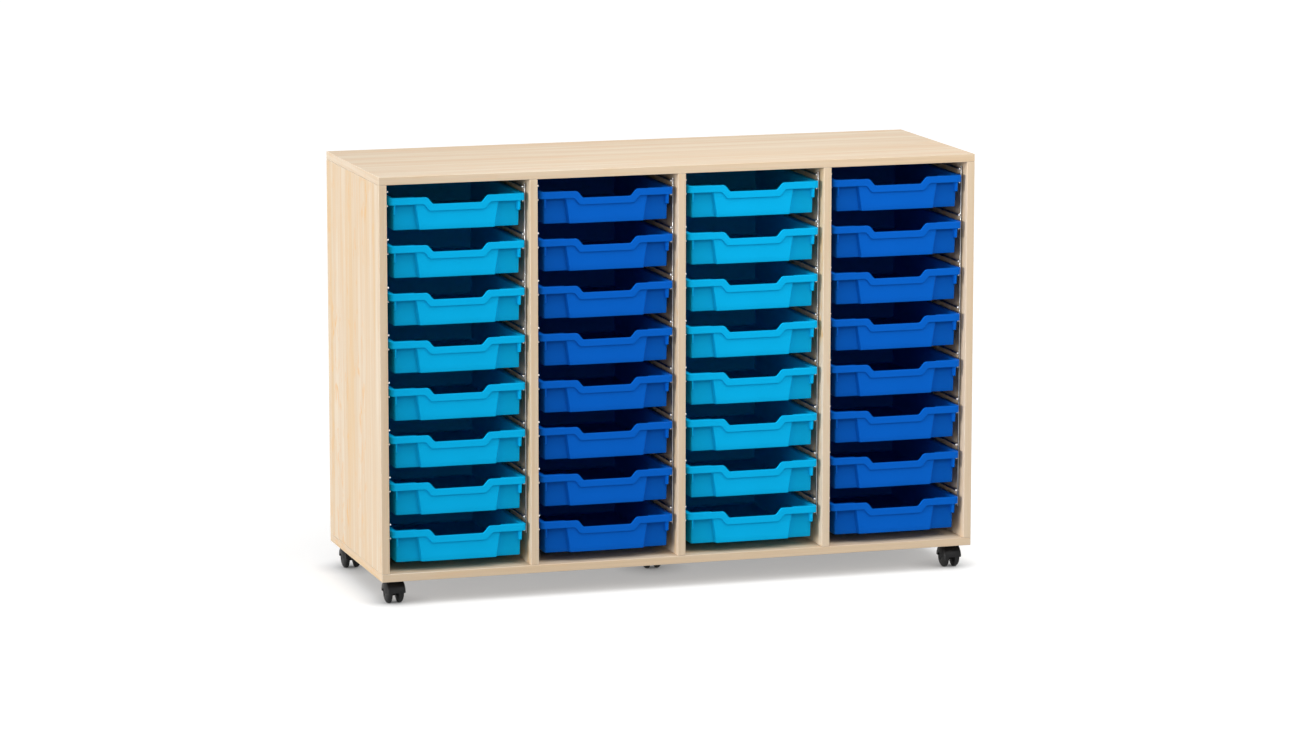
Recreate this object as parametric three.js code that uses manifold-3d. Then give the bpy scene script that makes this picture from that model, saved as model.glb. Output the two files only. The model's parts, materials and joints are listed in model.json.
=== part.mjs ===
// Classroom tray storage unit: a board cabinet on castors, with columns of shallow pull-out trays that
// slide on welded wire runners. Millimetres, +Z up. The origin is on the floor under the middle of the
// cabinet, and the open front faces -Y.
import * as THREE from "three";
import { mergeVertices } from "three/addons/utils/BufferGeometryUtils.js";
import Module from "manifold-3d";

const wasm = await Module();
wasm.setup();

// Trays
const COLUMNS = 4;
const ROWS = 8;
const TRAY_WIDTH = 312; // over the rim
const TRAY_LENGTH = 427; // over the rim
const TRAY_HEIGHT = 72.6;
const TRAY_WALL = 2;
const RIM_DROP = 15.6; // height of the lip that hangs from the rim
const RIM_OVERHANG = 10.5; // from the tray's body to the outside of the lip, at the sides and back
const RIM_CORNER = 5; // cut across each corner of the rim
const BODY_DRAFT = 1.5; // how far each wall leans in from top to bottom
const WING_SETBACK = 11; // from the front of the lip to the body's front wall beside the panel
const PANEL_SETBACK = 2.5; // from the front of the lip to the raised front panel
const PANEL_TOP = 193.6; // width of the raised panel where it meets the rim
const PANEL_BOTTOM = 171.8; // width of the raised panel at the tray's foot
const PANEL_FLANK = 3; // sideways run of each sloping flank of the panel
const DIP_DEPTH = 15.6; // finger dip in the front rim
const DIP_TOP = 139; // width of the dip at the rim's level
const DIP_BOTTOM = 114; // width of the dip's floor
const DIP_BAND = 15.5; // height of the lip under the dip's floor
const DIP_SPREAD = 7; // how much further out the lip's lower edge turns than the dip above it

// Wire runners
const WIRE = 6; // wire diameter
const WIRE_SIDES = 6;
const WELD = 0.8; // how deep two crossing wires melt into each other
const RUNNER_RIM_GAP = 1.7; // between the uprights and a tray's rim
const SUPPORT_GAP = 0.3; // between a lip and the wire it slides on
const GUIDE_GAP = 10.1; // between a rim and the wire above it
const FRONT_UPRIGHT = 30; // from the cabinet's front to the front upright
const REAR_UPRIGHT = 25; // from the back of a tray to the rear upright
const WIRE_TIP = 4; // how far the rungs run past the uprights' centres

// Cabinet
const BOARD = 18; // thickness of the boards
const BACK_BOARD = 8; // thickness of the back
const BACK_INSET = 8; // from the rear edges to the back
const TRAY_SETBACK = 9; // from the cabinet's front to the trays
const REAR_CLEARANCE = 36; // behind the trays
const TRAY_GAP = 34.4; // from the top of one tray's rim to the tray above
const TOP_CLEARANCE = 31.4; // over the top tray's rim
const BOTTOM_CLEARANCE = 22; // under the lowest tray
const JOINT_GAP = 0.3; // between two boards, and between a runner and its board

// How far a cut runs past what it cuts, and a joined shape into its neighbour
const OVER = 1;

// Castors
const WHEEL_DIAMETER = 50;
const WHEEL_PAIR_WIDTH = 42; // over both wheels
const WHEEL_GAP = 9; // between the two wheels
const SHOULDER_RUN = 7; // rounding of a wheel's outer edge, measured along the axle
const SHOULDER_DROP = 16; // the same rounding, measured towards the axle
const SHOULDER_STEPS = 2;
const CONE_RUN = 4; // how far each wheel's inner face slants away from the gap at its tread
const CONE_DROP = 12; // height of that slant, from the tread towards the axle
const WHEEL_SIDES = 16;
const AXLE_DIAMETER = 8;
const AXLE_CLEARANCE = 0.08;
const WEB_CLEARANCE = 1; // between the hood's web and each wheel
const WEB_BOSS = 18; // diameter of the web around the axle
const WEB_FLARE = 4; // how far each edge of the web leans out from its boss to the hood
const HOOD_WHEEL_GAP = 1.7; // between the wheels' treads and the hood
const HOOD_WALL = 2.3;
const CHEEK_CLEARANCE = 1; // between the wheels' outer faces and the hood
const HOOD_TAPER = 4; // how far each side of the hood leans in towards its crown
const HOOD_SKIRT = 1; // height of the hood's lower edge over the axle
const COLLAR_DIAMETER = 26;
const COLLAR_HEIGHT = 1.4; // from the hood's crown to the top of the swivel collar
const SWIVEL_GAP = 0.6; // between the collar and the base
const STEM_DIAMETER = 11;
const STEM_LENGTH = 14; // part of the stem inside the base
const STEM_CLEARANCE = 0.3;
const TRAIL = 12; // from the stem's axis to the axle
const CASTOR_INSET_X = 37; // from the cabinet's side to the stem
const CASTOR_INSET_Y = 56; // from the cabinet's front or back to the stem

// Sizes that follow
const SIDE_CLEARANCE = JOINT_GAP + WIRE + RUNNER_RIM_GAP;
const COLUMN_CLEAR = TRAY_WIDTH + 2 * SIDE_CLEARANCE;
const COLUMN_PITCH = COLUMN_CLEAR + BOARD;
const ROW_PITCH = TRAY_HEIGHT + TRAY_GAP;
const CABINET_WIDTH = COLUMNS * COLUMN_PITCH + BOARD;
const CABINET_DEPTH = TRAY_SETBACK + TRAY_LENGTH + REAR_CLEARANCE + BACK_BOARD + BACK_INSET;
const FRONT = -CABINET_DEPTH / 2;
const BACK = CABINET_DEPTH / 2;
const LEFT = -CABINET_WIDTH / 2;
const WHEEL_RADIUS = WHEEL_DIAMETER / 2;
const HOOD_INSIDE = WHEEL_RADIUS + HOOD_WHEEL_GAP;
const HOOD_RADIUS = HOOD_INSIDE + HOOD_WALL;
const BASE_UNDERSIDE = WHEEL_RADIUS + HOOD_RADIUS + COLLAR_HEIGHT + SWIVEL_GAP;
const BASE_TOP = BASE_UNDERSIDE + BOARD;
const UPRIGHT_HEIGHT = BOTTOM_CLEARANCE + TRAY_HEIGHT + (ROWS - 1) * ROW_PITCH + TOP_CLEARANCE;
const TOP_UNDERSIDE = BASE_TOP + UPRIGHT_HEIGHT;
const TRAY_FRONT = FRONT + TRAY_SETBACK;
const WIRE_FLATS = WIRE * Math.cos(Math.PI / WIRE_SIDES); // across the flats of a faceted wire

const rimLevel = (row) => TOP_UNDERSIDE - TOP_CLEARANCE - row * ROW_PITCH;
const columnLeft = (column) => LEFT + BOARD + column * COLUMN_PITCH;

// Finishes
const maple = new THREE.MeshStandardMaterial({ color: 0xecd6b8, roughness: 0.55, metalness: 0 });
const hardboard = new THREE.MeshStandardMaterial({ color: 0xe4cdae, roughness: 0.6, metalness: 0 });
const cyanPlastic = new THREE.MeshStandardMaterial({ color: 0x0aace6, roughness: 0.42, metalness: 0 });
const bluePlastic = new THREE.MeshStandardMaterial({ color: 0x0562cf, roughness: 0.42, metalness: 0 });
const chromedWire = new THREE.MeshStandardMaterial({ color: 0xc9cbce, roughness: 0.18, metalness: 1 });
const blackNylon = new THREE.MeshStandardMaterial({ color: 0x1b1b1d, roughness: 0.5, metalness: 0 });
const greyTread = new THREE.MeshStandardMaterial({ color: 0x242426, roughness: 0.6, metalness: 0 });

// Solids: closed geometry as something to join and cut, and back again
function solid(geometry) {
  const bare = new THREE.BufferGeometry();
  const source = geometry.index ? geometry.toNonIndexed() : geometry;
  bare.setAttribute("position", source.getAttribute("position"));
  const merged = mergeVertices(bare, 1e-4);
  const index = merged.index.array;
  const triVerts = [];
  for (let i = 0; i < index.length; i += 3) {
    const [a, b, c] = [index[i], index[i + 1], index[i + 2]];
    if (a !== b && b !== c && c !== a) triVerts.push(a, b, c);
  }
  const vertProperties = merged.getAttribute("position").array;
  return new wasm.Manifold(
    new wasm.Mesh({ numProp: 3, vertProperties, triVerts: new Uint32Array(triVerts) }),
  );
}

function geometryOf(body) {
  const mesh = body.getMesh();
  const geometry = new THREE.BufferGeometry();
  geometry.setAttribute("position", new THREE.BufferAttribute(mesh.vertProperties, 3));
  geometry.setIndex(new THREE.BufferAttribute(mesh.triVerts, 1));
  const faceted = geometry.toNonIndexed();
  faceted.computeVertexNormals();
  return faceted;
}

const join = (bodies) => bodies.reduce((sum, body) => sum.add(body));

function box(x0, x1, y0, y1, z0, z1) {
  const geometry = new THREE.BoxGeometry(x1 - x0, y1 - y0, z1 - z0);
  geometry.translate((x0 + x1) / 2, (y0 + y1) / 2, (z0 + z1) / 2);
  return geometry;
}

// An outline in X and Y, standing from z0 to z1
function standing(shape, z0, z1) {
  const geometry = new THREE.ExtrudeGeometry(shape, { depth: z1 - z0, bevelEnabled: false });
  return geometry.translate(0, 0, z0);
}

// An outline in X and Z, running from y0 back to y1
function runningBack(shape, y0, y1) {
  const geometry = new THREE.ExtrudeGeometry(shape, { depth: y1 - y0, bevelEnabled: false });
  return geometry.rotateX(Math.PI / 2).translate(0, y1, 0);
}

// An outline in Y and Z, running from x0 across to x1
function runningAcross(shape, x0, x1) {
  const geometry = new THREE.ExtrudeGeometry(shape, {
    depth: x1 - x0,
    bevelEnabled: false,
    curveSegments: WHEEL_SIDES / 4,
  });
  const turn = new THREE.Matrix4().makeBasis(
    new THREE.Vector3(0, 1, 0),
    new THREE.Vector3(0, 0, 1),
    new THREE.Vector3(1, 0, 0),
  );
  return geometry.applyMatrix4(turn).translate(x0, 0, 0);
}

const outline = (points) => new THREE.Shape(points.map(([x, y]) => new THREE.Vector2(x, y)));

function polygon(diameter, sides) {
  const turn = (2 * Math.PI) / sides;
  const corner = (i) => [(diameter / 2) * Math.cos(i * turn), (diameter / 2) * Math.sin(i * turn)];
  return outline(Array.from({ length: sides }, (_, i) => corner(i)));
}

// A rectangle from y0 to y1, centred on x = 0
function rectangle(width, y0, y1) {
  const x = width / 2;
  return outline([
    [-x, y0],
    [x, y0],
    [x, y1],
    [-x, y1],
  ]);
}

// The same with its corners cut across
function cutRectangle(width, y0, y1, cut) {
  const x = width / 2;
  return outline([
    [-x + cut, y0],
    [x - cut, y0],
    [x, y0 + cut],
    [x, y1 - cut],
    [x - cut, y1],
    [-x + cut, y1],
    [-x, y1 - cut],
    [-x, y0 + cut],
  ]);
}

// A profile of [place along the axle, radius] points, turned about the X axis. Its flats, not its
// corners, lie on the given radii, and one flat faces straight down.
function turned(profile, sides) {
  const outwards = 1 / Math.cos(Math.PI / sides);
  const points = profile.map(([along, radius]) => new THREE.Vector2(radius * outwards, along));
  const geometry = new THREE.LatheGeometry(points, sides, Math.PI / sides);
  return geometry.rotateZ(-Math.PI / 2);
}

// Tray, with the middle of its front rim's top at the origin
function trayGeometry() {
  const foot = -TRAY_HEIGHT;
  const bodyWidth = TRAY_WIDTH - 2 * RIM_OVERHANG;
  const bodyBack = TRAY_LENGTH - RIM_OVERHANG;

  // Walls lean in evenly from the rim to the foot
  const lean = (geometry, y0, y1) => {
    const place = geometry.getAttribute("position");
    const middle = (y0 + y1) / 2;
    for (let i = 0; i < place.count; i++) {
      const share = BODY_DRAFT * Math.min(1, -place.getZ(i) / TRAY_HEIGHT);
      place.setX(i, place.getX(i) - Math.sign(place.getX(i)) * share);
      place.setY(i, place.getY(i) - Math.sign(place.getY(i) - middle) * share);
    }
    return geometry;
  };
  const shell = (inset, z0, z1) => {
    const y0 = WING_SETBACK + inset;
    const y1 = bodyBack - inset;
    const plan = rectangle(bodyWidth - 2 * inset, y0, y1);
    return solid(lean(standing(plan, z0, z1), y0, y1));
  };

  // The raised panel is widest at its back, where its flanks run into the body's front wall
  const panelHalf = (z) => (PANEL_TOP + ((PANEL_BOTTOM - PANEL_TOP) * -z) / TRAY_HEIGHT) / 2;
  const raisedPanel = (inset, y0, y1, z0, z1) => {
    const low = panelHalf(z0) - inset;
    const high = panelHalf(z1) - inset;
    const face = outline([
      [-low, z0],
      [low, z0],
      [high, z1],
      [-high, z1],
    ]);
    const geometry = runningBack(face, y0, y1);
    const place = geometry.getAttribute("position");
    for (let i = 0; i < place.count; i++) {
      const depth = (place.getY(i) - y0) / (WING_SETBACK - PANEL_SETBACK);
      place.setX(i, place.getX(i) + Math.sign(place.getX(i)) * PANEL_FLANK * depth);
    }
    return solid(geometry);
  };

  // A trough across the front: drop and floor are the depths of its brim and of its floor, and its
  // sides run on upwards past the brim. The spread makes it wider on each side.
  const trough = (drop, floor, y0, y1, spread = 0) => {
    const run = (DIP_TOP - DIP_BOTTOM) / 2;
    const base = DIP_BOTTOM / 2 + spread;
    const brim = base + run + (run * OVER) / (floor - drop);
    const face = outline([
      [-base, -floor],
      [base, -floor],
      [brim, OVER - drop],
      [-brim, OVER - drop],
    ]);
    return solid(runningBack(face, y0, y1));
  };

  const rim = standing(cutRectangle(TRAY_WIDTH, 0, TRAY_LENGTH, RIM_CORNER), -RIM_DROP, 0);
  const underRim = standing(
    cutRectangle(TRAY_WIDTH - 2 * TRAY_WALL, TRAY_WALL, TRAY_LENGTH - TRAY_WALL, RIM_CORNER),
    -RIM_DROP - OVER,
    -TRAY_WALL,
  );
  const floor = foot + TRAY_WALL;
  const inWall = TRAY_WALL / 2;
  const wingFoot = WING_SETBACK + BODY_DRAFT;
  const panelBack = wingFoot + inWall;
  const dipFlange = trough(TRAY_WALL, DIP_DEPTH + TRAY_WALL, inWall, PANEL_SETBACK + inWall);
  const dipLip = trough(RIM_DROP, DIP_DEPTH + DIP_BAND, 0, TRAY_WALL, DIP_SPREAD);
  const roomBack = wingFoot + TRAY_WALL + OVER;
  const panelRoom = raisedPanel(TRAY_WALL, PANEL_SETBACK + TRAY_WALL, roomBack, floor, OVER);
  return geometryOf(
    solid(rim)
      .subtract(solid(underRim))
      .add(shell(0, foot, -inWall))
      .add(raisedPanel(0, PANEL_SETBACK, panelBack, foot, -inWall))
      .add(dipFlange)
      .add(dipLip)
      .subtract(shell(TRAY_WALL, floor, OVER))
      .subtract(panelRoom)
      .subtract(trough(0, DIP_DEPTH, -OVER, roomBack)),
  );
}

// Wire runner for one side of a column. The board's face is at x = 0 and the column lies at +X.
function runnerGeometry() {
  const uprightX = JOINT_GAP + WIRE / 2;
  const rungX = uprightX + WIRE - WELD;
  const uprights = [FRONT + FRONT_UPRIGHT, TRAY_FRONT + TRAY_LENGTH - REAR_UPRIGHT];
  const guideLevel = (row) => rimLevel(row) + GUIDE_GAP + WIRE_FLATS / 2;
  const supportLevel = (row) => rimLevel(row) - RIM_DROP - SUPPORT_GAP - WIRE_FLATS / 2;
  const top = guideLevel(0) + WIRE / 2 + WIRE_TIP;
  const bottom = supportLevel(ROWS - 1) - WIRE / 2 - WIRE_TIP;
  const wire = polygon(WIRE, WIRE_SIDES);

  const posts = uprights.map((y) => standing(wire, bottom, top).translate(uprightX, y, 0));
  const rung = (z) => runningBack(wire, uprights[0] - WIRE_TIP, uprights[1] + WIRE_TIP).translate(rungX, 0, z);
  const rungs = Array.from({ length: ROWS }, (_, row) => [guideLevel(row), supportLevel(row)])
    .flat()
    .map(rung);
  return geometryOf(join([...posts, ...rungs].map(solid)));
}

// Castor wheels: both wheels on their axle, with the axle at the origin
function wheelPairGeometry() {
  const outer = WHEEL_PAIR_WIDTH / 2;
  const inner = WHEEL_GAP / 2;
  const shoulder = Array.from({ length: SHOULDER_STEPS + 1 }, (_, i) => {
    const angle = (i / SHOULDER_STEPS) * (Math.PI / 2);
    const along = outer - SHOULDER_RUN * (1 - Math.sin(angle));
    return [along, WHEEL_RADIUS - SHOULDER_DROP * (1 - Math.cos(angle))];
  });
  const cone = [
    [inner, WHEEL_RADIUS - CONE_DROP],
    [inner + CONE_RUN, WHEEL_RADIUS],
  ];
  const half = [[inner, AXLE_DIAMETER / 2], ...cone, ...shoulder, [outer, 0]];
  const mirrored = half.map(([along, radius]) => [-along, radius]).reverse();
  return turned([...mirrored, ...half], WHEEL_SIDES);
}

// Castor hood with its web, swivel collar and stem, with the axle at the origin
function hoodGeometry() {
  const half = WHEEL_PAIR_WIDTH / 2 + CHEEK_CLEARANCE + HOOD_WALL;
  const webHalf = WHEEL_GAP / 2 - WEB_CLEARANCE;
  const bossRadius = WEB_BOSS / 2;
  const crown = [
    [-half, 0],
    [-half, bossRadius],
    [-half + HOOD_TAPER, HOOD_RADIUS],
    [half - HOOD_TAPER, HOOD_RADIUS],
    [half, bossRadius],
    [half, 0],
  ];
  const inside = half - HOOD_WALL;
  const wheelRoom = [
    [webHalf, 0],
    [webHalf, HOOD_INSIDE],
    [inside - HOOD_TAPER, HOOD_INSIDE],
    [inside, bossRadius],
    [inside, 0],
  ];
  const otherRoom = wheelRoom.map(([along, radius]) => [-along, radius]).reverse();

  const collarTop = HOOD_RADIUS + COLLAR_HEIGHT;
  const collar = standing(polygon(COLLAR_DIAMETER, WHEEL_SIDES), 0, collarTop).translate(0, TRAIL, 0);
  const stemTop = collarTop + SWIVEL_GAP + STEM_LENGTH - STEM_CLEARANCE;
  const stem = standing(polygon(STEM_DIAMETER, WHEEL_SIDES), 0, stemTop).translate(0, TRAIL, 0);
  const reach = TRAIL + HOOD_RADIUS + COLLAR_DIAMETER;
  const aboveSkirt = box(-reach, reach, -reach, reach, HOOD_SKIRT, stemTop + OVER);

  const web = new THREE.Shape();
  web.absarc(0, 0, bossRadius, Math.PI, 2 * Math.PI, false);
  web.lineTo(bossRadius + WEB_FLARE, HOOD_SKIRT + OVER);
  web.lineTo(-bossRadius - WEB_FLARE, HOOD_SKIRT + OVER);
  const holeDiameter = (AXLE_DIAMETER + 2 * AXLE_CLEARANCE) / Math.cos(Math.PI / WHEEL_SIDES) ** 2;
  const axleHole = runningAcross(polygon(holeDiameter, WHEEL_SIDES), -WHEEL_GAP, WHEEL_GAP);

  return geometryOf(
    solid(turned(crown, WHEEL_SIDES))
      .add(solid(collar))
      .add(solid(stem))
      .intersect(solid(aboveSkirt))
      .subtract(solid(turned(wheelRoom, WHEEL_SIDES)))
      .subtract(solid(turned(otherRoom, WHEEL_SIDES)))
      .add(solid(runningAcross(web, -webHalf, webHalf)))
      .subtract(solid(axleHole)),
  );
}

// Castor places: the stem's [x, y], and the turn about it that points the wheels outwards
const stemX = CABINET_WIDTH / 2 - CASTOR_INSET_X;
const stemY = CABINET_DEPTH / 2 - CASTOR_INSET_Y;
const castors = [
  { name: "castor_front_left", x: -stemX, y: -stemY, turn: 0 },
  { name: "castor_front_right", x: stemX, y: -stemY, turn: 0 },
  { name: "castor_back_left", x: -stemX, y: stemY, turn: Math.PI },
  { name: "castor_back_right", x: stemX, y: stemY, turn: Math.PI },
  { name: "castor_centre", x: 0, y: 0, turn: 0 },
];

// Base board, with a socket in its underside for each castor's stem
function baseGeometry() {
  const socketDiameter = (STEM_DIAMETER + 2 * STEM_CLEARANCE) / Math.cos(Math.PI / WHEEL_SIDES);
  const socket = polygon(socketDiameter, WHEEL_SIDES);
  const sockets = castors.map(({ x, y }) =>
    solid(standing(socket, BASE_UNDERSIDE - OVER, BASE_UNDERSIDE + STEM_LENGTH).translate(x, y, 0)),
  );
  const board = solid(box(LEFT, -LEFT, FRONT, BACK, BASE_UNDERSIDE, BASE_TOP));
  return geometryOf(board.subtract(join(sockets)));
}

// Assembly
const unit = new THREE.Group();

function place(name, geometry, material, x = 0, y = 0, z = 0, parent = unit) {
  const mesh = new THREE.Mesh(geometry, material);
  mesh.name = name;
  mesh.position.set(x, y, z);
  parent.add(mesh);
  return mesh;
}

// Top and base run the full width, and the upright boards stand between them
place("base_panel", baseGeometry(), maple);
place("top_panel", box(LEFT, -LEFT, FRONT, BACK, TOP_UNDERSIDE, TOP_UNDERSIDE + BOARD), maple);
const boardBottom = BASE_TOP + JOINT_GAP;
const boardTop = TOP_UNDERSIDE - JOINT_GAP;
const side = box(0, BOARD, FRONT, BACK, boardBottom, boardTop);
place("side_panel_left", side, maple, LEFT);
place("side_panel_right", side, maple, -LEFT - BOARD);
const backFace = BACK - BACK_INSET - BACK_BOARD;
const divider = box(0, BOARD, FRONT, backFace - JOINT_GAP, boardBottom, boardTop);
for (let column = 1; column < COLUMNS; column++) {
  place(`divider_${column}`, divider, maple, columnLeft(column) - BOARD);
}
const backHalf = -LEFT - BOARD - JOINT_GAP;
const back = box(-backHalf, backHalf, backFace, backFace + BACK_BOARD, boardBottom, boardTop);
place("back_panel", back, hardboard);

// Two runners face each other in every column
const runner = runnerGeometry();
for (let column = 0; column < COLUMNS; column++) {
  place(`runner_c${column + 1}_left`, runner, chromedWire, columnLeft(column));
  const facing = place(`runner_c${column + 1}_right`, runner, chromedWire, columnLeft(column) + COLUMN_CLEAR);
  facing.scale.x = -1;
}

// Trays, the columns alternating in colour
const tray = trayGeometry();
for (let column = 0; column < COLUMNS; column++) {
  const plastic = column % 2 === 0 ? cyanPlastic : bluePlastic;
  const middle = columnLeft(column) + COLUMN_CLEAR / 2;
  for (let row = 0; row < ROWS; row++) {
    place(`tray_c${column + 1}_r${row + 1}`, tray, plastic, middle, TRAY_FRONT, rimLevel(row));
  }
}

// Castors
const hood = hoodGeometry();
const wheelPair = wheelPairGeometry();
for (const { name, x, y, turn } of castors) {
  const castor = new THREE.Group();
  castor.position.set(x, y, WHEEL_RADIUS);
  castor.rotation.z = turn;
  unit.add(castor);
  place(`${name}_hood`, hood, blackNylon, 0, -TRAIL, 0, castor);
  place(`${name}_wheels`, wheelPair, greyTread, 0, -TRAIL, 0, castor);
}

export default unit;
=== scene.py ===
"""Looks of the classroom tray storage unit: maple boards, moulded trays, wire runners and castors."""
import json
import math

import bmesh
import bpy
from mathutils import Matrix, Vector


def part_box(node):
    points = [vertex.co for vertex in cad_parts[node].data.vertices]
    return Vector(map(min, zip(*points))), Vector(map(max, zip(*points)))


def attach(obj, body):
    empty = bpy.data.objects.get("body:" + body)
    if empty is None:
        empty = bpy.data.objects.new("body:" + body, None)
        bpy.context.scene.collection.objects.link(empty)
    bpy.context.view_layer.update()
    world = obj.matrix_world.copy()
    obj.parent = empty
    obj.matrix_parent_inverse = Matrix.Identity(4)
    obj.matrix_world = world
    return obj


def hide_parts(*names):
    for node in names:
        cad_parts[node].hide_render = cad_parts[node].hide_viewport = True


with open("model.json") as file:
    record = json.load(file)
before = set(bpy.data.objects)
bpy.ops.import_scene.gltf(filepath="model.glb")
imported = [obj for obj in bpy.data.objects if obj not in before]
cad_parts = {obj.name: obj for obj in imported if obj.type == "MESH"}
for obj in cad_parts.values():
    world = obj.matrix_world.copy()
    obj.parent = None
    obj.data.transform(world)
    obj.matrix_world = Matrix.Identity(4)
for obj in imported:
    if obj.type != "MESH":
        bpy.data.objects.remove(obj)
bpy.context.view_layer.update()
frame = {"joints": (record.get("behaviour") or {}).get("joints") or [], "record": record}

MM = 0.001
COLUMNS = range(1, 5)
ROWS = range(1, 9)
SLOT = {part["node"]: part["material_slot"] for part in frame["record"]["subparts"]}
JOINT = {joint["name"]: joint for joint in frame["joints"]}


# Shader node helpers

# Sockets of the Mix node that hold its factor, its two colours and their mix
MIX_FACTOR = 0
MIX_FIRST = 6
MIX_SECOND = 7
MIX_RESULT = 2


def new_material(name):
    """A new material, its node tree and its shader."""
    made = bpy.data.materials.new(name)
    made.use_nodes = True
    tree = made.node_tree
    return made, tree, tree.nodes["Principled BSDF"]


def add(tree, kind, inputs=(), **settings):
    """A new shader node, with its sockets set to values or linked to other sockets."""
    node = tree.nodes.new("ShaderNode" + kind)
    for key, value in settings.items():
        setattr(node, key, value)
    for key, value in dict(inputs).items():
        if isinstance(value, bpy.types.NodeSocket):
            tree.links.new(value, node.inputs[key])
        else:
            node.inputs[key].default_value = value
    return node


def noise(tree, scale, detail=2.0, roughness=0.5, distortion=0.0, offset=(0, 0, 0)):
    """Noise from 0 to 1 over the object, with scale in features per metre along X, Y and Z."""
    place = add(tree, "TexCoord").outputs["Object"]
    placed = add(tree, "Mapping", {"Vector": place, "Scale": scale, "Location": offset})
    return add(tree, "TexNoise", {
        "Vector": placed.outputs["Vector"],
        "Scale": 1.0,
        "Detail": detail,
        "Roughness": roughness,
        "Distortion": distortion,
    }).outputs["Fac"]


def spread(tree, value, low, high, start=0.3, end=0.7):
    """A value stretched from start..end to low..high, and held there outside."""
    settings = {"Value": value, "From Min": start, "From Max": end, "To Min": low, "To Max": high}
    return add(tree, "MapRange", settings).outputs["Result"]


def ramp(tree, value, stops):
    """A colour for each value, run between stops of (value, colour)."""
    node = add(tree, "ValToRGB", {"Fac": value})
    elements = node.color_ramp.elements
    elements[0].position, elements[0].color = stops[0][0], (*stops[0][1], 1)
    elements[1].position, elements[1].color = stops[-1][0], (*stops[-1][1], 1)
    for position, colour in stops[1:-1]:
        elements.new(position).color = (*colour, 1)
    return node.outputs["Color"]


def mix(tree, factor, first, second, blend="MIX"):
    """Two colours blended by a factor."""
    sockets = {MIX_FACTOR: factor, MIX_FIRST: first, MIX_SECOND: second}
    return add(tree, "Mix", sockets, data_type="RGBA", blend_type=blend).outputs[MIX_RESULT]


def both(tree, first, second):
    """The product of two values."""
    return add(tree, "Math", {0: first, 1: second}, operation="MULTIPLY").outputs[0]


def either(tree, first, second):
    """The larger of two values."""
    return add(tree, "Math", {0: first, 1: second}, operation="MAXIMUM").outputs[0]


def finish_surface(tree, shader, colour, rough, height, depth):
    """Colour, roughness and relief of a surface, each from its own nodes."""
    tree.links.new(colour, shader.inputs["Base Color"])
    tree.links.new(rough, shader.inputs["Roughness"])
    bump = add(tree, "Bump", {"Height": height, "Strength": 1.0, "Distance": depth})
    tree.links.new(bump.outputs["Normal"], shader.inputs["Normal"])


# Materials

STREAK_DARK = (0.955, 0.945, 0.925)
STREAK_LIGHT = (1.0, 1.0, 1.0)
FIBRE_RELIEF = 0.05 * MM
BOARD_SPECULAR = 0.25
CLOUD_TONE = 0.95  # tone of the darker clouds in moulded plastic
SMOOTHER, ROUGHER = 0.04, 0.06  # how far the roughness of moulded plastic strays
DRAWN_RELIEF = 0.01 * MM


def toned(colour, tone):
    return [tone * c for c in colour]


def maple(name, along, plain, pale, tan, flame, flames_per_metre=9):
    """Maple-effect board with its grain along one axis: bands, streaks, short flames and fine fibre."""
    made, tree, shader = new_material(name)

    def figure(across, lengthwise, **settings):
        """Noise with so many features per metre across the grain and along it."""
        return noise(tree, [lengthwise if axis == along else across for axis in range(3)], **settings)

    bands = figure(across=34, lengthwise=1.1, detail=3.0, roughness=0.65, distortion=0.3)
    colour = ramp(tree, bands, [(0.36, tan), (0.5, plain), (0.64, pale)])
    streaks = figure(across=210, lengthwise=3.5, offset=(5.3, 1.7, 8.9))
    shade = ramp(tree, streaks, [(0.34, STREAK_DARK), (0.6, STREAK_LIGHT)])
    colour = mix(tree, 1.0, colour, shade, "MULTIPLY")
    spots = figure(
        across=48, lengthwise=flames_per_metre, detail=2.5, distortion=0.8, offset=(3.1, 7.7, 1.9))
    zones = figure(across=11, lengthwise=0.9, offset=(6.2, 2.4, 4.8))
    flames = both(
        tree,
        spread(tree, spots, low=0.0, high=1.0, start=0.55, end=0.72),
        spread(tree, zones, low=0.15, high=1.0, start=0.42, end=0.6),
    )
    colour = mix(tree, flames, colour, (*flame, 1))
    fibre = figure(across=750, lengthwise=18, detail=3.0)
    rough = spread(tree, fibre, low=0.5, high=0.62)
    finish_surface(tree, shader, colour, rough, fibre, FIBRE_RELIEF)
    shader.inputs["Specular IOR Level"].default_value = BOARD_SPECULAR
    return made


def plastic(name, colour, roughness, speckle=1500, relief=0.02 * MM, specular=0.05):
    """Moulded plastic: slight cloudiness in the colour and a fine eroded texture."""
    made, tree, shader = new_material(name)
    clouds = noise(tree, scale=(9, 9, 14), detail=3.0)
    tint = ramp(tree, clouds, [(0.35, toned(colour, CLOUD_TONE)), (0.65, colour)])
    texture = noise(tree, scale=(speckle,) * 3)
    rough = spread(tree, texture, low=roughness - SMOOTHER, high=roughness + ROUGHER)
    finish_surface(tree, shader, tint, rough, texture, relief)
    shader.inputs["Specular IOR Level"].default_value = specular
    return made


def plated(name, dull, bright):
    """Plated wire with drawn streaks along it and faint clouding between two greys."""
    made, tree, shader = new_material(name)
    drawn = noise(tree, scale=(900, 40, 40))
    clouds = noise(tree, scale=(60, 60, 60))
    colour = ramp(tree, clouds, [(0.35, (dull,) * 3), (0.65, (bright,) * 3)])
    rough = spread(tree, drawn, low=0.24, high=0.36)
    finish_surface(tree, shader, colour, rough, drawn, DRAWN_RELIEF)
    shader.inputs["Metallic"].default_value = 1.0
    return made


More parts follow.
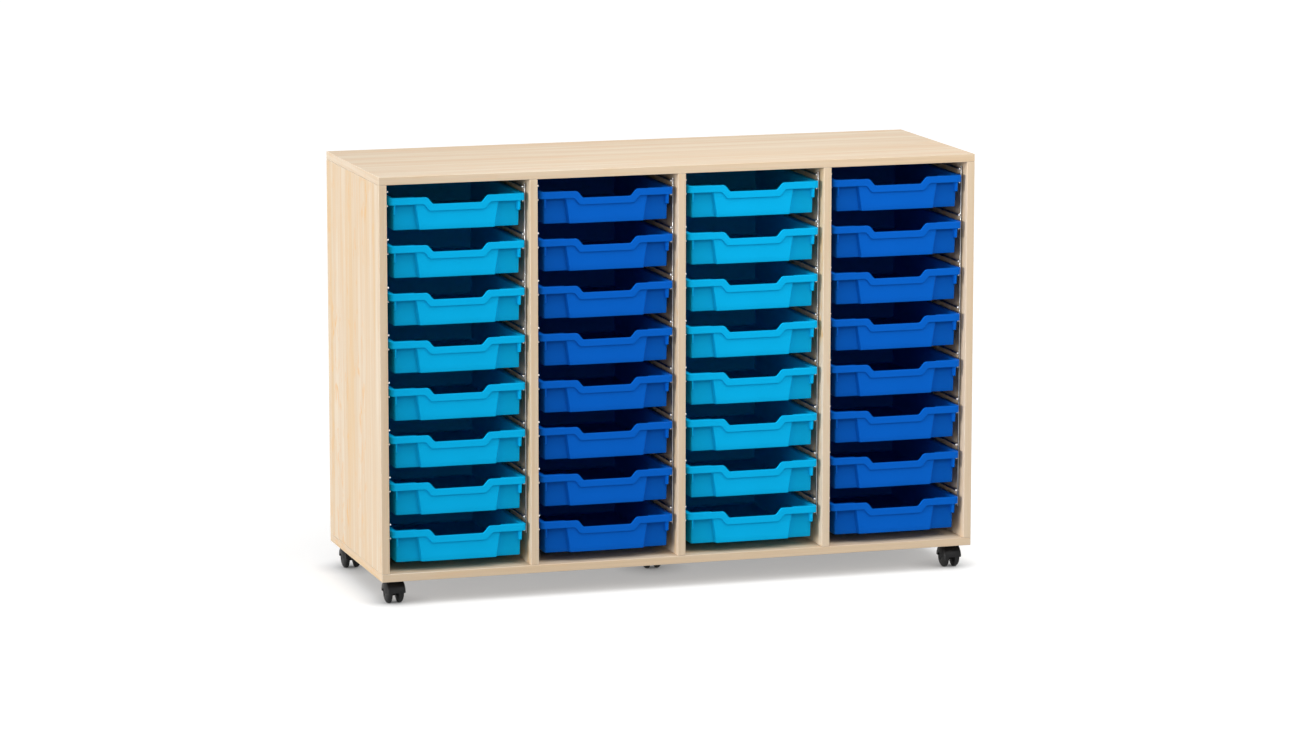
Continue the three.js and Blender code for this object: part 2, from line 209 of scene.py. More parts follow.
SIDE_TONES = {
    "plain": (0.722, 0.567, 0.405),
    "pale": (0.765, 0.645, 0.505),
    "tan": (0.728, 0.535, 0.328),
    "flame": (0.750, 0.460, 0.200),
    "flames_per_metre": 20,
}
TOP_TONES = {
    "plain": (0.725, 0.582, 0.425),
    "pale": (0.765, 0.640, 0.490),
    "tan": (0.710, 0.530, 0.360),
    "flame": (0.725, 0.515, 0.325),
}
EDGE_TONES = {
    "plain": (0.715, 0.560, 0.395),
    "pale": (0.735, 0.590, 0.430),
    "tan": (0.705, 0.530, 0.350),
    "flame": (0.715, 0.515, 0.325),
}
# Paler maple for the boards' rounded edges: a painted highlight along them
EDGE_HIGHLIGHT_TONES = {
    "plain": (0.77, 0.64, 0.49),
    "pale": (0.79, 0.67, 0.53),
    "tan": (0.76, 0.61, 0.45),
    "flame": (0.76, 0.60, 0.43),
}
BACK_TONES = {
    "plain": (0.68, 0.53, 0.375),
    "pale": (0.70, 0.56, 0.41),
    "tan": (0.67, 0.50, 0.335),
    "flame": (0.68, 0.49, 0.31),
}
AXES = "xyz"
side_maple = [maple("maple_side_" + AXES[i], i, **SIDE_TONES) for i in range(3)]
edge_maple = [maple("maple_edge_" + AXES[i], i, **EDGE_TONES) for i in range(3)]
top_maple = maple("maple_top", 0, **TOP_TONES)
painted_highlight_maple = maple("maple_painted_edge_highlight", 0, **EDGE_HIGHLIGHT_TONES)
back_maple = maple("maple_back", 2, **BACK_TONES)

CYAN = (0.001, 0.445, 0.825)
BLUE = (0.001, 0.118, 0.57)
HOOD_BLACK = (0.008, 0.008, 0.0085)
WHEEL_BLACK = (0.012, 0.012, 0.0125)
SMOOTH_ROUGHNESS = 0.42
FINISH = {
    "cyan_plastic": plastic("cyan_plastic", CYAN, SMOOTH_ROUGHNESS),
    "blue_plastic": plastic("blue_plastic", BLUE, SMOOTH_ROUGHNESS),
    "chromed_wire": plated("chromed_wire", dull=0.27, bright=0.38),
    "black_nylon": plastic("black_nylon", HOOD_BLACK, 0.45, speckle=2500, relief=0.04 * MM, specular=0.2),
    "wheel_tread": plastic("wheel_tread", WHEEL_BLACK, 0.5, speckle=1200, relief=0.05 * MM, specular=0.22),
}
# Far paler plated metal for the wires' front ends: a painted glint
painted_glint_tip = plated("painted_glint_tip", dull=0.86, bright=0.94)

# A tray's grained walls are rougher than its smooth rim and panel, and darker by a painted shade that
# stands in for the shade on the recessed wings beside the raised panel
WING_PAINTED_SHADE_TONE = 0.85
GRAINED = {"roughness": 0.55, "speckle": 900, "relief": 0.06 * MM}
GRAINED_PAINTED_SHADE_FINISH = {
    "cyan_plastic": plastic("cyan_grained_painted_shade", toned(CYAN, WING_PAINTED_SHADE_TONE), **GRAINED),
    "blue_plastic": plastic("blue_grained_painted_shade", toned(BLUE, WING_PAINTED_SHADE_TONE), **GRAINED),
}


# Piece helpers

def mesh_from(name, points, faces, smooth=True):
    made = bpy.data.meshes.new(name)
    made.from_pydata([tuple(p) for p in points], [], faces)
    made.polygons.foreach_set("use_smooth", [smooth] * len(made.polygons))
    made.validate()
    return made


def crease(mesh, degrees):
    """Sharp shading over the edges of a smooth mesh that turn by more than that angle."""
    mesh.set_sharp_from_angle(angle=math.radians(degrees))


def new_object(name, data):
    made = bpy.data.objects.new(name, data)
    bpy.context.scene.collection.objects.link(made)
    return made


def piece(name, mesh, node, body, place=(0, 0, 0), turn=0.0):
    """An object with that mesh, standing for a CAD node on its body."""
    made = new_object(name, mesh)
    made.location = place
    made.rotation_euler = (0, 0, turn)
    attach(made, body)
    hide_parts(node)


def join_shells(*shells):
    """Several (points, faces) shells as one."""
    points, faces = [], []
    for more, loops in shells:
        start = len(points)
        points += [Vector(p) for p in more]
        faces += [tuple(start + i for i in loop) for loop in loops]
    return points, faces


def skin(rings):
    """A closed shell over rings of equally many points, capped at both ends."""
    count = len(rings[0])
    points = [p for ring in rings for p in ring]
    faces = [tuple(reversed(range(count)))]
    for start in range(0, count * (len(rings) - 1), count):
        for i in range(count):
            j = (i + 1) % count
            faces.append((start + i, start + j, start + count + j, start + count + i))
    faces.append(tuple(range(len(points) - count, len(points))))
    return points, faces


def circle(sides):
    """Points (u, v) evenly round a circle of radius 1."""
    angles = [2 * math.pi * i / sides for i in range(sides)]
    return [(math.cos(angle), math.sin(angle)) for angle in angles]


def lathe(profile, axis, sides):
    """A profile of (place along the axis, radius) points turned about the X or Z axis."""
    rings = []
    for along, radius in profile:
        around = [(radius * u, radius * v) for u, v in circle(sides)]
        rings.append([Vector((along, a, b)) if axis == "X" else Vector((a, b, along)) for a, b in around])
    return skin(rings)


# Boards

EASED = 1.0 * MM
EASED_STEPS = 3


def board(node, face_finish):
    """A board with rounded edges: grained faces, edge strips along their length, and paler rounded corners
    that are a painted highlight along its edges.
    """
    low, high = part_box(node)
    size = high - low
    shape = bmesh.new()
    bmesh.ops.create_cube(shape, size=1.0, matrix=Matrix.LocRotScale((low + high) / 2, None, size))
    flats = {face: max(range(3), key=lambda axis: abs(face.normal[axis])) for face in shape.faces}
    thin = min(range(3), key=lambda axis: size[axis])
    order = [painted_highlight_maple]
    for face, facing in flats.items():
        if facing == thin:
            finish = face_finish
        else:
            along = max((axis for axis in range(3) if axis != facing), key=lambda axis: size[axis])
            finish = (side_maple if facing == 0 else edge_maple)[along]
        if finish not in order:
            order.append(finish)
        face.material_index = order.index(finish)
    rounded = bmesh.ops.bevel(
        shape, geom=shape.edges[:], offset=EASED, segments=EASED_STEPS, profile=0.5, affect="EDGES")
    # The rounded edges take the paler maple as a painted highlight
    for face in rounded["faces"]:
        face.material_index = 0
        face.smooth = True
    mesh = bpy.data.meshes.new(node + "_board")
    shape.to_mesh(mesh)
    shape.free()
    for finish in order:
        mesh.materials.append(finish)
    piece(node + "_board", mesh, node, "cabinet")


for node in ("base_panel", "top_panel"):
    board(node, top_maple)
for node in ("side_panel_left", "side_panel_right", "divider_1", "divider_2", "divider_3"):
    board(node, side_maple[2])
board("back_panel", back_maple)


# Trays, drawn with X from the middle, Y from the front of the lip and Z from the rim

tray_low, tray_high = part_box("tray_c1_r1")
HALF = (tray_high.x - tray_low.x) / 2
LENGTH = tray_high.y - tray_low.y
HEIGHT = tray_high.z - tray_low.z
WALL = 2.0 * MM
LIP = 15.6 * MM  # height of the lip that hangs from the rim
OVERHANG = 10.5 * MM  # from the body to the outside of the lip
DRAFT = 1.5 * MM  # how far each wall leans in from top to bottom
WING = 11.5 * MM  # from the front of the lip to the front wall beside the panel
PANEL = 3.4 * MM  # from the front of the lip to the raised panel
PANEL_TOP = 96.8 * MM  # half the panel's width at the rim
PANEL_FOOT = 85.9 * MM  # half the panel's width at the foot
FLANK = 3.0 * MM  # share of the flanks that is smooth like the panel and free of the painted shade
SMOOTH_FLANK = 0.9  # share of the flanks that is smooth like the panel
DIP = 15.6 * MM  # depth of the finger dip
DIP_FLOOR = 56.0 * MM  # half the width of the dip's floor
DIP_RUN = 12.5 * MM  # sideways run of the dip's slopes
BAND_WIDEN = 7.0 * MM  # how much further out the dip's slopes lie at the lip's lower edge
RIM_CORNER = 10.5 * MM
BODY_CORNER = 4.0 * MM
CORNER_STEPS = 6
TRAY_CREASE = 50  # degrees
# Heights of the loops along the plain parts of the inner and the outer wall
INNER_LEVEL = -38 * MM
OUTER_LEVELS = (-33 * MM, -46 * MM, -59 * MM)
# Where the front's points lie, as shares of each stretch: dip floor, dip slope, panel, flank and wing
FRONT_SHARES = (
    (0, 0.45, 0.75, 0.9, 0.94, 0.965, 0.985),
    (0, 0.1, 0.22, 0.4, 0.6, 0.75, 0.88),
    (0, 0.06, 0.12, 0.19, 0.5, 0.9, 0.96),
    (0, 0.12, 0.25, 0.5, 0.7, 0.85),
    (0, 0.02, 0.04, 0.1, 0.4, 0.8),
)
# Roundness of the start and end of the flanks and of the dip's slopes, as shares of their run
FLANK_ROUND = (0.25, 0.5)
DIP_ROUND = (0.25, 0.35)


def soft_step(t, start_round, end_round):
    """0 before t = 0, 1 after t = 1 and straight between, with both corners rounded."""
    def corner(u, size):
        if u <= -size:
            return 0.0
        return u if u >= size else (u + size) ** 2 / (4 * size)
    return corner(t, start_round) - corner(t - 1, end_round)


def panel_half(z):
    """Half the panel's width at height z."""
    return PANEL_TOP + (PANEL_FOOT - PANEL_TOP) * min(1.0, -z / HEIGHT)


def lean(z):
    """How far a wall has leant in at height z."""
    return DRAFT * min(1.0, -z / HEIGHT)


def wall_front(x, z):
    """Y of the front wall's outside: the raised panel, its flanks and the wings beside it."""
    away = soft_step((x - panel_half(z)) / FLANK, *FLANK_ROUND)
    return PANEL + (WING + lean(z) - PANEL) * away


def tray_ring(z, inset, front, corner, dip=0.0, widen=0.0):
    """One closed loop round the tray. front gives Y at (x, z), and dip is the share of the dip taken."""
    half, back = HALF - inset, LENGTH - inset
    edge = panel_half(z)
    ends = (0, DIP_FLOOR + widen, DIP_FLOOR + DIP_RUN + widen, edge, edge + FLANK, half - corner)
    right = []
    for shares, a, b in zip(FRONT_SHARES, ends, ends[1:]):
        for share in shares:
            x = a + (b - a) * share
            drop = 1 - soft_step((x - DIP_FLOOR - widen) / DIP_RUN, *DIP_ROUND)
            right.append(Vector((x, front(x, z), z - DIP * dip * drop)))
    start = front(half, z)
    turns = [math.pi / 2 * i / CORNER_STEPS for i in range(CORNER_STEPS + 1)]
    for turn in turns:
        away, along = corner * (1 - math.sin(turn)), corner * (1 - math.cos(turn))
        right.append(Vector((half - away, start + along, z)))
    right.append(Vector((half, (start + back) / 2, z)))
    for turn in turns:
        away, along = corner * (1 - math.cos(turn)), corner * (1 - math.sin(turn))
        right.append(Vector((half - away, back - along, z)))
    right.append(Vector((0, back, z)))
    left = [Vector((-p.x, p.y, p.z)) for p in reversed(right[1:-1])]
    return right + left


def tray_shell():
    """The moulding in one skin: inside floor, inner wall, rim, hanging lip, outer wall and foot.

    The number of its first face on the outer wall comes with it.
    """
    rings = []

    def at(z, inset, front, corner, dip=0.0, widen=0.0):
        rings.append(tray_ring(z, inset, front, corner, dip, widen))

    def level(y):
        """A straight front, y mm behind the front of the lip."""
        return lambda x, z: y * MM

    def outer(more):
        """The outside of the front wall, moved back by so many mm."""
        return lambda x, z: wall_front(x, z) + more * MM

    def inner(more):
        """The inside of the front wall, moved back by so many mm."""
        return lambda x, z: wall_front(x, z) + WALL + more * MM

    # Inside floor, with a rounded edge, and inner wall
    floor = -HEIGHT + WALL
    side = OVERHANG + WALL
    inside = BODY_CORNER - WALL
    at(floor, side + DRAFT + 7 * MM, inner(7), inside)
    at(floor, side + DRAFT + 5 * MM, inner(5), inside)
    at(floor + 1.4 * MM, side + DRAFT + 1.4 * MM, inner(1.4), inside)
    at(floor + 5 * MM, side + lean(floor), inner(0), inside)
    at(INNER_LEVEL, side + lean(INNER_LEVEL), inner(0), inside)

    # Rim, rounded over its inner and its outer edge
    at(-3 * MM, side, inner(0), inside, 1)
    at(-0.7 * MM, side - 0.4 * MM, inner(-0.4), inside, 1)
    at(0, side - 1.6 * MM, inner(-1.4), inside + 1 * MM, 1)
    at(0, 0.8 * MM, level(0.8), RIM_CORNER - 0.6 * MM, 1)
    at(-0.25 * MM, 0.25 * MM, level(0.25), RIM_CORNER - 0.2 * MM, 1, 0.2 * MM)
    at(-0.8 * MM, 0, level(0), RIM_CORNER, 1, 0.4 * MM)
    at(-1.8 * MM, 0, level(0), RIM_CORNER, 1, 0.9 * MM)

    # Lip, down its outside and up its inside
    at(-LIP + 1.4 * MM, 0, level(0), RIM_CORNER, 1, BAND_WIDEN - 0.4 * MM)
    at(-LIP + 0.6 * MM, 0, level(0), RIM_CORNER, 1, BAND_WIDEN)
    at(-LIP, 0.6 * MM, level(0.6), RIM_CORNER - 0.5 * MM, 1, BAND_WIDEN)
    at(-LIP, WALL - 0.4 * MM, level(1.6), RIM_CORNER - 1 * MM, 1, BAND_WIDEN)
    at(-LIP + 0.5 * MM, WALL, level(2), RIM_CORNER - 1.5 * MM, 1, BAND_WIDEN)

    # Underside of the rim
    under = -WALL
    at(under - 0.6 * MM, WALL + 0.3 * MM, level(2.3), RIM_CORNER - 2 * MM, 1, 1.5 * MM)
    at(under, WALL + 1.2 * MM, level(2.8), BODY_CORNER, 1, 1 * MM)
    at(under, OVERHANG - 1.2 * MM, outer(-0.05), BODY_CORNER, 1, 1 * MM)

    # Outer wall and foot
    first_outside = 1 + len(rings) * len(rings[0])
    at(under - 1.2 * MM, OVERHANG, outer(0), BODY_CORNER, 1, 1.5 * MM)
    for z in OUTER_LEVELS:
        at(z, OVERHANG + lean(z), outer(0), BODY_CORNER)
    foot = -HEIGHT
    at(foot + 0.9 * MM, OVERHANG + DRAFT, outer(0), BODY_CORNER)
    at(foot + 0.25 * MM, OVERHANG + DRAFT + 0.25 * MM, outer(0.25), BODY_CORNER)
    at(foot, OVERHANG + DRAFT + 0.9 * MM, outer(0.9), BODY_CORNER - 0.5 * MM)
    at(foot, OVERHANG + DRAFT + 2.5 * MM, outer(2.5), BODY_CORNER - 1 * MM)
    return *skin(rings), first_outside


RIB_OUTSIDE = 145.3 * MM  # from the tray's middle to the rib's outer face
RIB_THICK = 3.0 * MM
RIB_TOE_THICK = 0.8 * RIB_THICK
RIB_FOOT_THICK = 0.7 * RIB_THICK
RIB_FRONT = 1.6 * MM  # from the front of the lip to the rib's front edge
RIB_TOE = 3.5 * MM  # the same near the rib's foot
RIB_TOP = -1.5 * MM
RIB_FOOT = -37.0 * MM
RIB_SPREAD = 4.0 * MM  # how much thicker the rib is at the wall than at its front edge
RIB_SUNK = 1.0 * MM  # from the face of the wing at the rim back to the rib's rear
RIB_ROUND = 1.0 * MM  # bevel of the rib's toe


def rib_shell(side):
    """The gusset under the front rim at one end of the tray, tapering towards its foot."""
    back = WING + RIB_SUNK
    stations = (
        (RIB_TOP, RIB_FRONT, RIB_THICK),
        (-LIP, RIB_FRONT, RIB_THICK),
        (RIB_FOOT + RIB_ROUND, RIB_TOE, RIB_TOE_THICK),
        (RIB_FOOT, RIB_TOE + RIB_ROUND, RIB_FOOT_THICK),
    )
    rings = []
    for z, front, thick in stations:
        inside = RIB_OUTSIDE - thick
        plan = ((RIB_OUTSIDE, front), (RIB_OUTSIDE, back), (inside - RIB_SPREAD, back), (inside, front))
        rings.append([Vector((side * x, y, z)) for x, y in plan])
    points, faces = skin(rings)
    return points, faces if side < 0 else [tuple(reversed(loop)) for loop in faces]


# Outer-wall faces beyond the panel, which take the grained finish with its painted shade
def is_grained_with_painted_shade(face):
    return abs(face.center.x) > panel_half(face.center.z) + SMOOTH_FLANK * FLANK


shell_points, shell_faces, first_outside = tray_shell()
tray_points, tray_faces = join_shells((shell_points, shell_faces), rib_shell(1), rib_shell(-1))
tray_mesh = {}
for slot in ("cyan_plastic", "blue_plastic"):
    mesh = mesh_from("tray_" + slot, tray_points, tray_faces)
    crease(mesh, TRAY_CREASE)
    mesh.materials.append(FINISH[slot])
    mesh.materials.append(GRAINED_PAINTED_SHADE_FINISH[slot])
    # The grained finish with its painted shade goes on the outer wall beside and behind the panel
    for face in mesh.polygons[first_outside:len(shell_faces)]:
        face.material_index = int(is_grained_with_painted_shade(face))
    tray_mesh[slot] = mesh
for column in COLUMNS:
    for row in ROWS:
        node = f"tray_c{column}_r{row}"
        low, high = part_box(node)
        place = ((low.x + high.x) / 2, low.y, high.z)
        piece(f"moulded_{node}", tray_mesh[SLOT[node]], node, "pull_out_" + node, place)


# Wire runners

WIRE = 6.0 * MM  # thickness of the solids' six-sided wires over their corners
HALF_FLATS = WIRE / 2 * math.cos(math.pi / 6)
WIRE_SHOWN = 2.1 * MM  # radius of the round wire that is seen
WIRE_SIDES = 12
TIP_ANGLES = (0.25, 0.7, 1.15, math.pi / 2)  # from a wire's tip to the end of its dome
TIP_RISE = 0.6  # height of the dome as a share of the wire's radius
UPRIGHT_IN = 4.0 * MM  # from the ends of the wires to the uprights' middle lines
GUIDE_GAP = 10.1 * MM  # from a tray's rim up to its guide wire
SUPPORT_GAP = 0.3 * MM  # from a tray's lip down to its support wire
WELD_REACH = 3.2 * MM
WELD_FLAT = 0.55  # thickness of a weld as a share of its reach
WELD_LATITUDES = (-60, -25, 0, 25, 60)
WELD_SIDES = 8
GLINT_TIP_LENGTH = 5.0 * MM  # length of the bright end of each guide and support wire, a painted glint
CUT_BURR = 0.2 * MM


def wire_shell(start, end, radius=WIRE_SHOWN):
    """A round wire between two points, its ends domed."""
    start, end = Vector(start), Vector(end)
    along = (end - start).normalized()
    across = along.orthogonal().normalized()
    other = along.cross(across)
    dome = [(TIP_RISE * radius * (1 - math.cos(a)), radius * math.sin(a)) for a in TIP_ANGLES]
    stations = [(start + along * d, r) for d, r in dome] + [(end - along * d, r) for d, r in reversed(dome)]
    round_it = circle(WIRE_SIDES)
    return skin([[centre + r * (across * u + other * v) for u, v in round_it] for centre, r in stations])


def weld_shell(x, y, z):
    """The blob of melted metal where two wires cross, flattened across the crossing."""
    rings = []
    for latitude in WELD_LATITUDES:
        angle = math.radians(latitude)
        reach, aside = WELD_REACH * math.cos(angle), WELD_FLAT * WELD_REACH * math.sin(angle)
        rings.append([Vector((x + aside, y + reach * u, z + reach * v)) for u, v in circle(WELD_SIDES)])
    return skin(rings)


def runner_shell():
    """Runner of a column's left side: two uprights with a guide and a support wire for each tray.

    The wires' ends, made bright as a painted glint, come last, and their first face's number comes with
    them.
    """
    low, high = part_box("runner_c1_left")
    upright_x, rung_x = WIRE / 2, high.x - low.x - WIRE / 2
    uprights = (low.y + UPRIGHT_IN, high.y - UPRIGHT_IN)
    shells = [wire_shell((upright_x, y, low.z), (upright_x, y, high.z)) for y in uprights]
    ends = []
    for row in ROWS:
        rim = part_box(f"tray_c1_r{row}")[1].z
        for z in (rim + GUIDE_GAP + HALF_FLATS, rim - LIP - SUPPORT_GAP - HALF_FLATS):
            shells.append(wire_shell((rung_x, low.y + GLINT_TIP_LENGTH / 2, z), (rung_x, high.y, z)))
            shells += [weld_shell((upright_x + rung_x) / 2, y, z) for y in uprights]
            ends.append(wire_shell((rung_x, low.y, z), (rung_x, low.y + GLINT_TIP_LENGTH, z), WIRE_SHOWN + CUT_BURR))
    return *join_shells(*shells, *ends), sum(len(faces) for _, faces in shells)


runner_points, runner_faces, first_glint_face = runner_shell()
mirrored_points = [Vector((-p.x, p.y, p.z)) for p in runner_points]
mirrored_faces = [tuple(reversed(loop)) for loop in runner_faces]
left_runner = mesh_from("runner_left", runner_points, runner_faces)
right_runner = mesh_from("runner_right", mirrored_points, mirrored_faces)
for mesh in (left_runner, right_runner):
    mesh.materials.append(FINISH["chromed_wire"])
    mesh.materials.append(painted_glint_tip)
    # The ends take the pale metal, a painted glint
    for face in mesh.polygons[first_glint_face:]:
        face.material_index = 1
for column in COLUMNS:
    left, right = f"runner_c{column}_left", f"runner_c{column}_right"
    piece(f"wires_c{column}_left", left_runner, left, "cabinet", (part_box(left)[0].x, 0, 0))
    piece(f"wires_c{column}_right", right_runner, right, "cabinet", (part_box(right)[1].x, 0, 0))


# Castors, drawn from the middle of the axle

wheel_low, wheel_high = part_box("castor_front_left_wheels")
hood_low, hood_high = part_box("castor_front_left_hood")
AXLE_HEIGHT = JOINT["castor_front_left_roll"]["pos_m"][2]
TREAD = AXLE_HEIGHT  # radius of the wheels, which stand on the floor
PAIR_HALF = (wheel_high.x - wheel_low.x) / 2
AXLE = 4.0 * MM
WHEEL_GAP = 9.0 * MM
CONE_RUN = 4.0 * MM  # slant of each wheel's inner face at its tread
CONE_DROP = 12.0 * MM
# Points round the inner edge of the tread, as mm past the slant and mm below the tread
TREAD_EDGE = ((-0.4, 0.9), (0.7, 0))
SHOULDER_RUN = 7.0 * MM
SHOULDER_DROP = 15.0 * MM
SHOULDER_STEPS = 8
# Points of the hub recess, as mm in from the wheel's outer face and mm of radius
HUB = ((0.2, 9), (1.3, 8.2), (1.5, 5.5), (0.9, 4.6), (0.6, 3), (0.5, 0.4))
WHEEL_STEPS = 48

HOOD_HALF = (hood_high.x - hood_low.x) / 2
HOOD_WALL = 2.3 * MM
HOOD_INSIDE = TREAD + 1.7 * MM
HOOD_OUTSIDE = HOOD_INSIDE + HOOD_WALL
HOOD_TAPER = 4.0 * MM  # how far each cheek leans in from the axle to the crown
CHEEK_BEND = 0.72  # share of the radius at which the cheeks start to lean in more
CHEEK_TAPER = 0.35  # share of the taper up to that bend
# Points round the crown's edge, as mm in from the cheek and mm below the crown
CROWN_EDGE = ((0.6, 1.8), (1.6, 0.6), (3.2, 0))
SKIRT = 1.0 * MM  # height of the hood's lower edge over the axle
HOOD_STEPS = 28

BOSS = 9.0 * MM  # radius of the web round the axle
WEB_HALF = 3.5 * MM
WEB_FLARE = 4.0 * MM
WEB_EASED = 0.7 * MM
WEB_RISE = 1.0 * MM  # from the hood's skirt up to the flare's end
WEB_TOP = 0.6 * HOOD_INSIDE
WEB_TOP_HALF = 2 * BOSS
WEB_STEPS = 14

COLLAR = 13.0 * MM
COLLAR_FOOT = 0.75 * HOOD_OUTSIDE
COLLAR_CLEAR = 0.6 * MM  # from the collar up to the base board
COLLAR_EASED = 0.8 * MM
COLLAR_STEPS = 32
CASTOR_CREASE = 35  # degrees


def wheel_shell():
    """Both wheels and their axle: flat treads, rounded shoulders and a shallow hub recess."""
    inner, outer = WHEEL_GAP / 2, PAIR_HALF
    half = [(inner, AXLE), (inner, TREAD - CONE_DROP)]
    half += [(inner + CONE_RUN + run * MM, TREAD - drop * MM) for run, drop in TREAD_EDGE]
    for i in range(SHOULDER_STEPS + 1):
        angle = math.pi / 2 * i / SHOULDER_STEPS
        along = outer - SHOULDER_RUN * (1 - math.sin(angle))
        half.append((along, TREAD - SHOULDER_DROP * (1 - math.cos(angle))))
    half += [(outer - depth * MM, radius * MM) for depth, radius in HUB]
    return lathe([(-along, radius) for along, radius in reversed(half)] + half, "X", WHEEL_STEPS)


def hood_shell():
    """The hood over both wheels: a rounded crown with cheeks, open below its level skirt."""
    half, inside = HOOD_HALF, HOOD_HALF - HOOD_WALL
    crown = half - HOOD_TAPER
    outer = [(half, BOSS), (half - CHEEK_TAPER * HOOD_TAPER, CHEEK_BEND * HOOD_OUTSIDE)]
    outer += [(crown - run * MM, HOOD_OUTSIDE - drop * MM) for run, drop in CROWN_EDGE]
    inner = [
        (inside - HOOD_TAPER, HOOD_INSIDE),
        (inside - CHEEK_TAPER * HOOD_TAPER, CHEEK_BEND * HOOD_INSIDE),
        (inside, BOSS),
    ]
    profile = [(-x, r) for x, r in outer] + [(x, r) for x, r in reversed(outer)]
    profile += [(x, r) for x, r in reversed(inner)] + [(-x, r) for x, r in inner]
    rings = []
    for step in range(HOOD_STEPS + 1):
        ring = []
        for x, r in profile:
            start = math.asin(SKIRT / r)
            angle = start + (math.pi - 2 * start) * step / HOOD_STEPS
            ring.append(Vector((x, -r * math.cos(angle), r * math.sin(angle))))
        rings.append(ring)
    return skin(rings)


def web_shell():
    """The plate between the wheels that carries the axle, running up to the hood's crown."""
    flared, shoulder = BOSS + WEB_FLARE, SKIRT + WEB_RISE
    turns = [math.pi + math.pi * i / WEB_STEPS for i in range(WEB_STEPS + 1)]
    outline = [(BOSS * math.cos(turn), BOSS * math.sin(turn)) for turn in turns]
    outline += [(flared, shoulder), (WEB_TOP_HALF, WEB_TOP), (-WEB_TOP_HALF, WEB_TOP), (-flared, shoulder)]
    flat = WEB_HALF - WEB_EASED
    rings = []
    for x, grow in ((-WEB_HALF, -WEB_EASED), (-flat, 0), (flat, 0), (WEB_HALF, -WEB_EASED)):
        share = 1 + grow / BOSS
        rings.append([Vector((x, share * y, share * z)) for y, z in outline])
    return skin(rings)


def collar_shell():
    """The swivel collar round the stem, just clear of the base."""
    stem_y = JOINT["castor_front_left_turn"]["pos_m"][1] - JOINT["castor_front_left_roll"]["pos_m"][1]
    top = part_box("base_panel")[0].z - AXLE_HEIGHT - COLLAR_CLEAR
    profile = [(COLLAR_FOOT, COLLAR), (top - COLLAR_EASED, COLLAR), (top, COLLAR - COLLAR_EASED)]
    points, faces = lathe(profile, "Z", COLLAR_STEPS)
    return [p + Vector((0, stem_y, 0)) for p in points], faces


hood_mesh = mesh_from("castor_hood", *join_shells(hood_shell(), web_shell(), collar_shell()))
wheel_mesh = mesh_from("castor_wheels", *wheel_shell())
for mesh, slot in ((hood_mesh, "black_nylon"), (wheel_mesh, "wheel_tread")):
    facing_out = bmesh.new()
    facing_out.from_mesh(mesh)
    bmesh.ops.recalc_face_normals(facing_out, faces=facing_out.faces[:])
    facing_out.to_mesh(mesh)
    facing_out.free()
    crease(mesh, CASTOR_CREASE)
    mesh.materials.append(FINISH[slot])
for name in ("front_left", "front_right", "back_left", "back_right", "centre"):
    castor = "castor_" + name
    axle = Vector(JOINT[castor + "_roll"]["pos_m"])
    stem = Vector(JOINT[castor + "_turn"]["pos_m"])
    turn = 0.0 if stem.y > axle.y else math.pi
    piece(castor + "_cover", hood_mesh, castor + "_hood", castor + "_swivel", axle, turn)
    piece(castor + "_twin_wheels", wheel_mesh, castor + "_wheels", castor + "_rollers", axle, turn)


# Floor

FLOOR_REACH = 60.0  # half the floor's width in metres
FLOOR_COLOUR = 0.42  # grey of the floor on rays that carry light
FLOOR_SEEN = 0.55  # grey of the floor where it is seen
FLOOR_MOTTLE = 0.005  # how far both greys stray
FLOOR_GLOW = 0.64  # white added where the floor is seen
FLOOR_NEAR = 74.0 * MM  # how near the floor a piece must be to darken the glow under it, a painted contact shadow
NEAR_SAMPLES = 16


def background_rays(tree):
    """1 on rays from the camera, a reflection or a clear surface, and 0 on rays that carry light."""
    path = add(tree, "LightPath").outputs
    shiny = either(tree, path["Is Glossy Ray"], path["Is Transmission Ray"])
    return either(tree, path["Is Camera Ray"], shiny)


def floor_material():
    """A pale floor that shows white in the open and keeps the object's shadow: the lamps' shadow in its
    grey, and a painted shadow where its glow fades near the pieces.
    """
    made, tree, shader = new_material("pale_floor")
    tree.nodes.remove(shader)
    mottle = noise(tree, scale=(3, 3, 3))
    lit = spread(tree, mottle, FLOOR_COLOUR - FLOOR_MOTTLE, FLOOR_COLOUR + FLOOR_MOTTLE)
    shown = spread(tree, mottle, FLOOR_SEEN - FLOOR_MOTTLE, FLOOR_SEEN + FLOOR_MOTTLE)
    seen = background_rays(tree)
    matt = add(tree, "BsdfDiffuse", {"Color": mix(tree, seen, lit, shown)})
    # An occlusion test fades the glow near the pieces: a painted contact shadow under the base and between
    # the wheels
    open_air = add(tree, "AmbientOcclusion", {"Distance": FLOOR_NEAR}, samples=NEAR_SAMPLES).outputs["AO"]
    glow_here = spread(tree, both(tree, seen, open_air), low=0.0, high=FLOOR_GLOW, start=0.0, end=1.0)
    glow = add(tree, "Emission", {"Strength": glow_here})
    surface = add(tree, "AddShader", {0: matt.outputs[0], 1: glow.outputs[0]})
    tree.links.new(surface.outputs[0], tree.nodes["Material Output"].inputs["Surface"])
    return made


corners = ((-1, -1), (1, -1), (1, 1), (-1, 1))
floor_points = [(FLOOR_REACH * x, FLOOR_REACH * y, 0) for x, y in corners]
floor_mesh = mesh_from("floor", floor_points, [(0, 1, 2, 3)], smooth=False)
floor_mesh.materials.append(floor_material())
floor = new_object("floor", floor_mesh)


# Light: an even dome, suns from above, the left and the front, and two softboxes over the front

DOME = 0.46
WHITE = (1, 1, 1, 1)
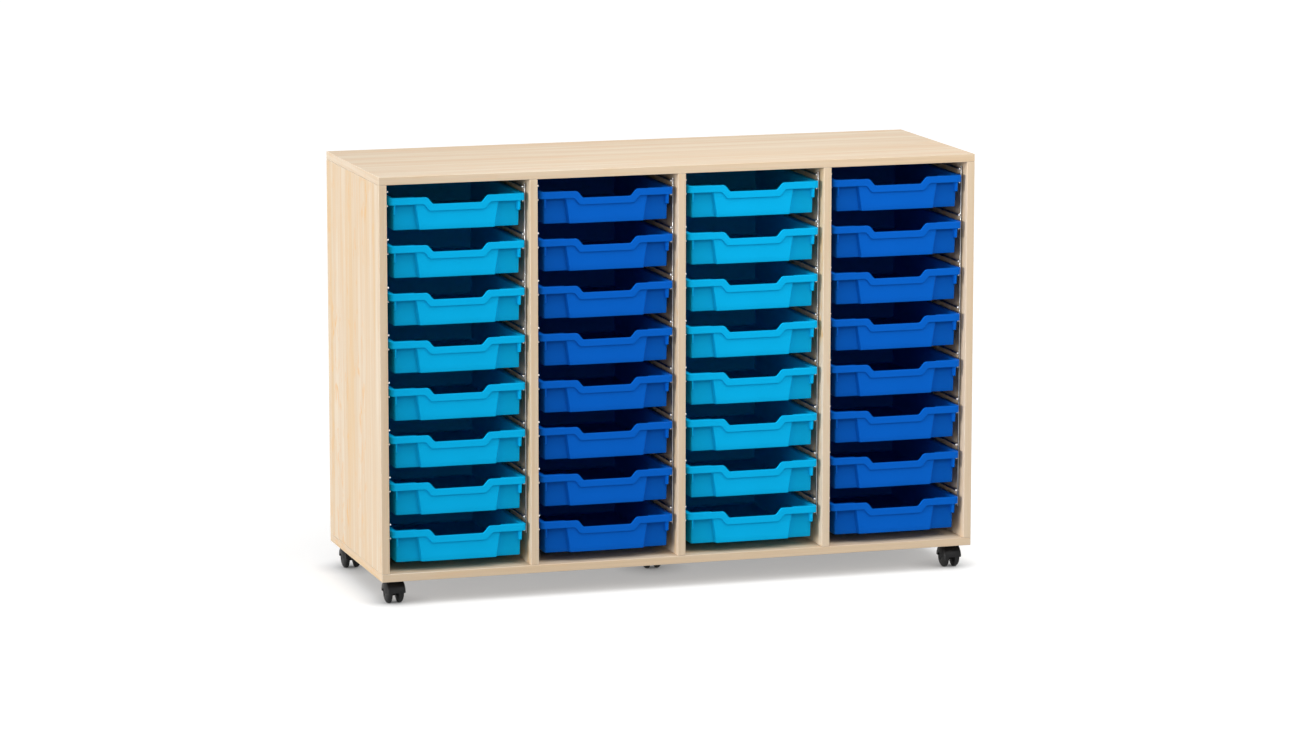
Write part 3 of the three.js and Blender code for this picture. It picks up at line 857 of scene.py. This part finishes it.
# Name, azimuth from straight ahead to the right, elevation, size across and strength, angles in degrees
SUNS = (
    ("key", 0.0, 69.0, 45.0, 0.75),
    ("from_left", -83.0, 3.0, 12.0, 2.4),
    ("left_fill", -60.0, 10.0, 15.0, 0.3),
    ("front_fill", -17.0, 9.6, 26.0, 0.15),
)
# Name, place and size across in metres, and power in watts
SOFTBOXES = (
    ("over_front", (0.0, -0.95, 2.6), 1.2, 11.5),
    ("right_fill", (1.4, -2.5, 2.2), 1.2, 26.0),
)
AIM = Vector((0, 0, 0.5))  # where the softboxes point

world = bpy.data.worlds.new("studio")
bpy.context.scene.world = world
world.use_nodes = True
sky = world.node_tree
sky.nodes.clear()
lighting = add(sky, "Background", {"Color": WHITE, "Strength": DOME})
backdrop = add(sky, "Background", {"Color": WHITE, "Strength": 1.0})
dome = add(sky, "MixShader", {0: background_rays(sky), 1: lighting.outputs[0], 2: backdrop.outputs[0]})
sky.links.new(dome.outputs[0], add(sky, "OutputWorld").inputs["Surface"])


def lamp(name, kind, energy):
    made = new_object(name, bpy.data.lights.new(name, kind))
    made.data.energy = energy
    return made


for name, azimuth, elevation, size, strength in SUNS:
    sun = lamp(name, "SUN", strength)
    sun.data.angle = math.radians(size)
    sun.rotation_euler = (math.radians(90 - elevation), 0, math.radians(azimuth))
for name, place, size, power in SOFTBOXES:
    softbox = lamp(name, "AREA", power)
    softbox.data.shape = "DISK"
    softbox.data.size = size
    softbox.location = place
    softbox.rotation_euler = (AIM - softbox.location).to_track_quat("-Z", "Y").to_euler()


# Camera at the photograph's angle

CAMERA_PLACE = (-3.3449, -10.7555, 2.3852)
CAMERA_TILT = 80.364  # degrees up from straight down
CAMERA_TURN = -17.277  # degrees about the vertical
SENSOR_WIDTH = 36.0
LENS = 137.318
CLIP_END = 200.0

camera = new_object("camera", bpy.data.cameras.new("camera"))
camera.location = CAMERA_PLACE
camera.rotation_euler = (math.radians(CAMERA_TILT), 0, math.radians(CAMERA_TURN))
camera.data.sensor_width = SENSOR_WIDTH
camera.data.lens = LENS
camera.data.clip_end = CLIP_END
bpy.context.scene.camera = camera
bpy.context.scene.view_settings.view_transform = "Standard"
